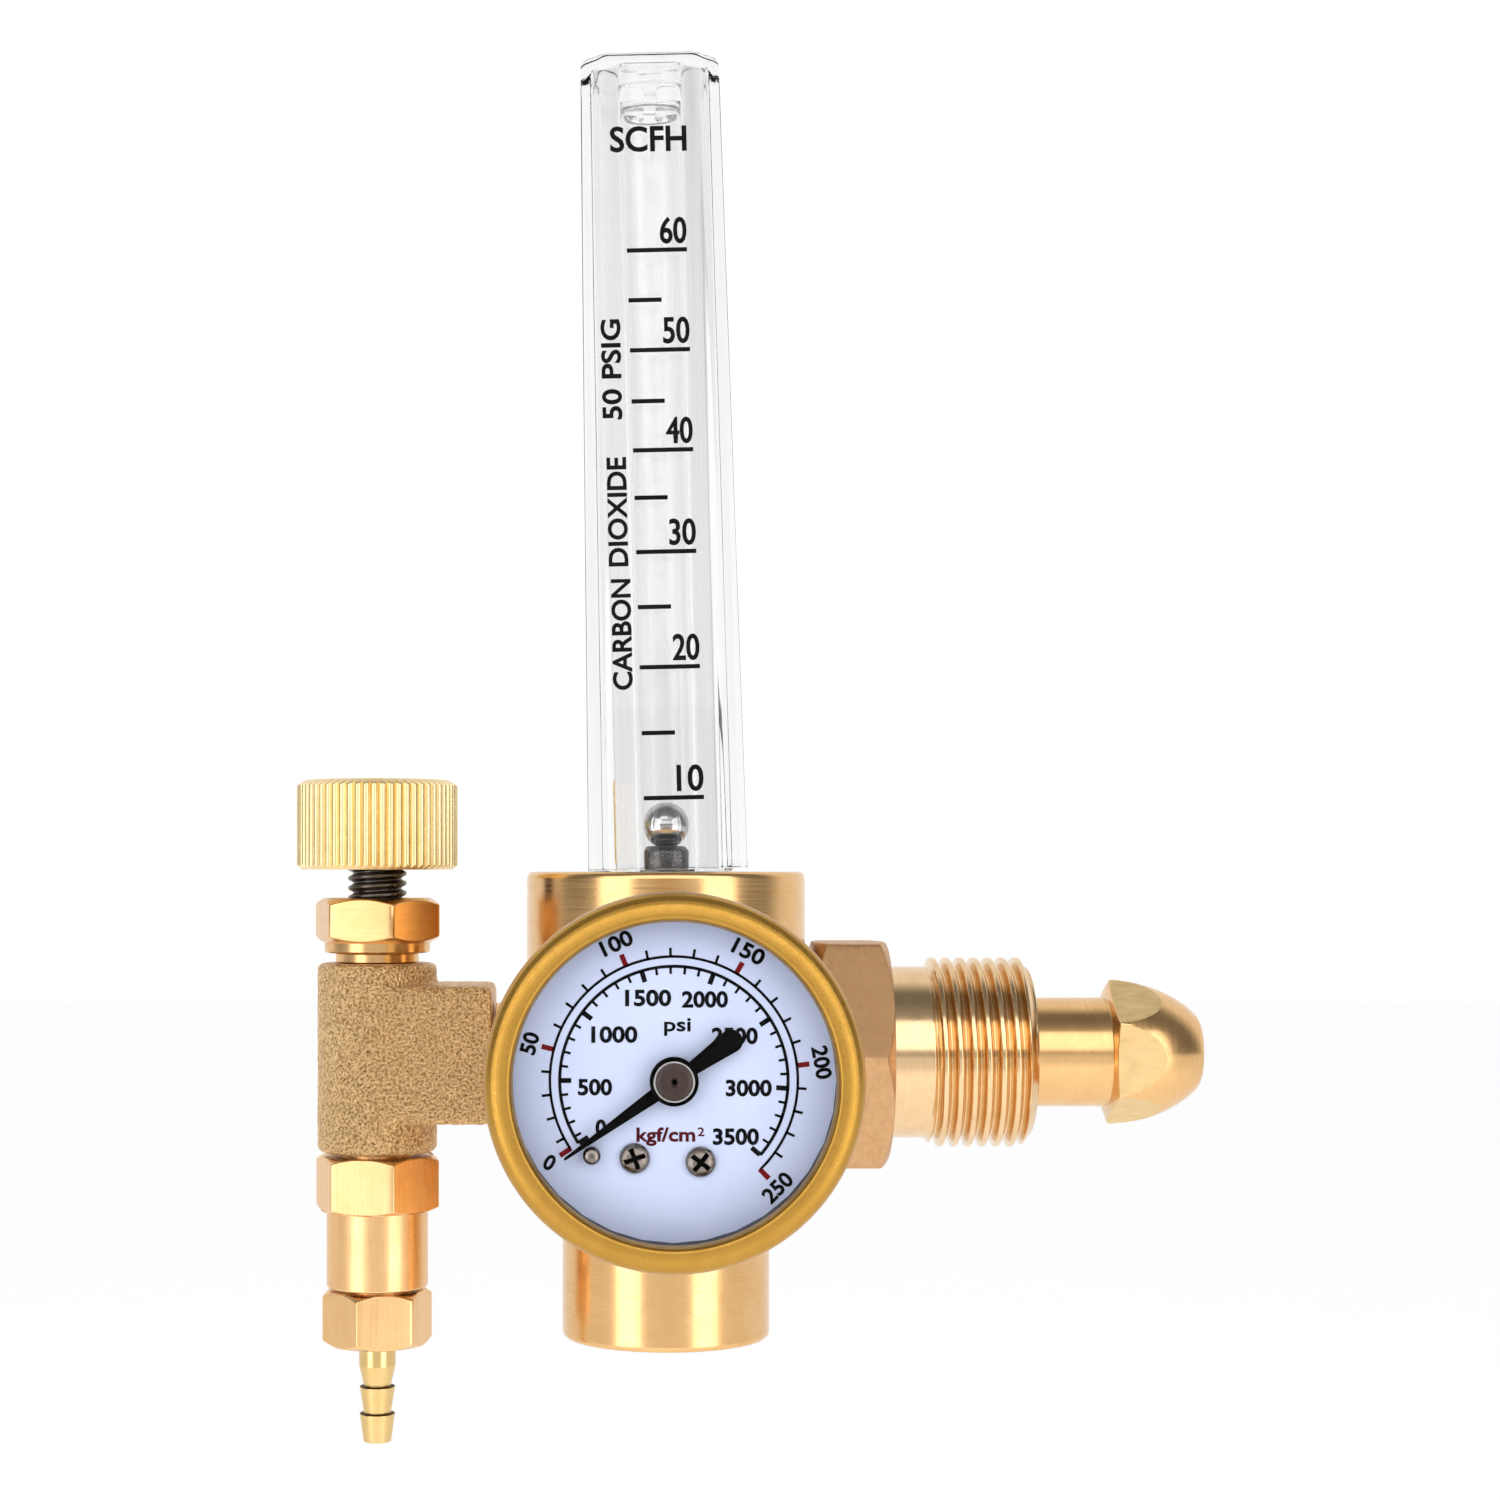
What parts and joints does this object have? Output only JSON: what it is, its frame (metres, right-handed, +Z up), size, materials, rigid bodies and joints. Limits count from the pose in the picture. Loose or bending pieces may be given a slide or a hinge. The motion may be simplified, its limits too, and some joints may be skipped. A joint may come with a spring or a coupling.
{
  "type": "carbon dioxide flow regulator",
  "caption": "Brass gas regulator with a clear flow tube, a round pressure gauge, a needle valve with a hose barb, and a threaded inlet nut with a bullet nose.",
  "frame": {"origin": "centre of the tip of the inlet nose, where the gas cylinder's valve holds the regulator", "axes": "+X out of the inlet nose along the inlet's axis, +Z up along the flow tube, -Y towards the gauge's face"},
  "size_m": [0.1169, 0.07, 0.178],
  "materials": {
    "turned_brass": "turned and lightly polished",
    "pale_brass": "bright pale brass",
    "cast_brass": "rough, as forged and blasted",
    "gold_paint": "satin gold paint",
    "bright_steel": "bright",
    "dark_steel": "dark plated",
    "sintered_bronze": "dull bronze",
    "clear_plastic": "clear moulded plastic",
    "clear_lens": "clear window",
    "black_rubber": "matt",
    "white_nylon": "natural nylon",
    "printed_dial": "matt white dial with printed scales",
    "black_paint": "matt black",
    "brown_cap": "dark brown"
  },
  "bodies": {
    "regulator": {"body": "turned_brass", "bonnet": "turned_brass", "passage_plug": "turned_brass", "valve_seat": "turned_brass", "poppet_spring": "bright_steel", "main_spring": "bright_steel", "inlet_nipple": "turned_brass", "inlet_filter": "sintered_bronze", "flow_cover": "clear_plastic", "flow_tube": "clear_plastic", "tube_cap": "clear_plastic", "flow_nozzle": "dark_steel", "tube_gasket": "black_rubber", "cover_o_ring": "black_rubber", "valve_tee": "cast_brass", "valve_link": "turned_brass", "valve_bonnet": "turned_brass", "outlet_adapter": "turned_brass", "outlet_nut": "turned_brass", "hose_barb": "pale_brass", "outlet_seal": "white_nylon", "gauge_socket": "turned_brass", "gauge_case": "gold_paint", "gauge_bezel": "gold_paint", "gauge_lens": "clear_lens", "dial_spacer": "black_rubber", "dial": "printed_dial", "dial_screw_1": "bright_steel", "dial_screw_2": "bright_steel", "stop_pin": "bright_steel", "bourdon_tube": "sintered_bronze", "movement_back_plate": "pale_brass", "movement_front_plate": "pale_brass", "movement_pillar_1": "pale_brass", "movement_pillar_2": "pale_brass", "movement_pillar_3": "pale_brass", "movement_pillar_4": "pale_brass"},
    "nut_slider": {"nut_ring": "black_rubber"},
    "swivel_nut": {"inlet_nut": "turned_brass"},
    "stem_seal": {"stem_o_ring": "black_rubber"},
    "knob_and_stem": {"valve_stem": "dark_steel", "valve_knob": "pale_brass", "knob_screw": "dark_steel"},
    "float": {"flow_ball": "bright_steel"},
    "piston_unit": {"piston": "turned_brass", "piston_o_ring": "black_rubber"},
    "poppet_unit": {"poppet": "bright_steel", "seat_disc": "white_nylon"},
    "pointer_unit": {"pointer": "black_paint", "pointer_cap": "brown_cap", "pointer_arbor": "pale_brass"},
    "sector_unit": {"sector_gear": "pale_brass"},
    "link_unit": {"link": "pale_brass"},
    "tip_unit": {"tube_tip": "turned_brass"}
  },
  "joints": [
    {"name": "nut_slide", "type": "slide", "parent": "regulator", "child": "nut_slider", "axis": [1, 0, 0], "range_m": [-0.0005, 0.0098]},
    {"name": "nut_spin", "type": "hinge", "parent": "nut_slider", "child": "swivel_nut", "pos_m": [-0.0355, 0, 0], "axis": [1, 0, 0], "continuous": true},
    {"name": "valve_rise", "type": "slide", "parent": "regulator", "child": "stem_seal", "axis": [0, 0, 1], "range_m": [-0.0015, 0.0025]},
    {"name": "valve_turn", "type": "hinge", "parent": "stem_seal", "child": "knob_and_stem", "pos_m": [-0.10645, 0, 0.025], "axis": [0, 0, 1], "range_deg": [-432, 720]},
    {"name": "ball_float", "type": "slide", "parent": "regulator", "child": "float", "axis": [-0.0227, 0, 0.9997], "range_m": [0, 0.0885]},
    {"name": "piston_travel", "type": "slide", "parent": "regulator", "child": "piston_unit", "axis": [0, 0, 1], "range_m": [-0.0008, 0], "stiffness_N_per_m": 1500, "springref_m": 0.002, "deforming": ["main_spring"]},
    {"name": "poppet_travel", "type": "slide", "parent": "regulator", "child": "poppet_unit", "axis": [0, 0, 1], "range_m": [-0.0008, 0], "deforming": ["poppet_spring"]},
    {"name": "pointer_turn", "type": "hinge", "parent": "regulator", "child": "pointer_unit", "pos_m": [-0.069, -0.047, 0], "axis": [0, 1, 0], "range_deg": [0, 260], "stiffness_Nm_per_rad": 0.0002, "springref_deg": -28.65},
    {"name": "sector_turn", "type": "hinge", "parent": "regulator", "child": "sector_unit", "pos_m": [-0.07067, -0.0377, -0.00945], "axis": [0, 1, 0], "range_deg": [-37.3, 0]},
    {"name": "link_swing", "type": "hinge", "parent": "sector_unit", "child": "link_unit", "pos_m": [-0.07368, -0.0391, -0.00546], "axis": [0, 1, 0], "range_deg": [0, 49.8]},
    {"name": "tip_travel", "type": "slide", "parent": "regulator", "child": "tip_unit", "axis": [-0.867, 0, -0.4983], "range_m": [0, 0.0026]}
  ],
  "couplings": [
    {"joint": "valve_turn", "follows": "valve_rise", "rad_per_m": 5026.5},
    {"joint": "poppet_travel", "follows": "piston_travel", "ratio": 1},
    {"joint": "pointer_turn", "follows": "tip_travel", "rad_per_m": 1748.5},
    {"joint": "sector_turn", "follows": "tip_travel", "rad_per_m": -249.79},
    {"joint": "link_swing", "follows": "tip_travel", "rad_per_m": 333.04}
  ]
}
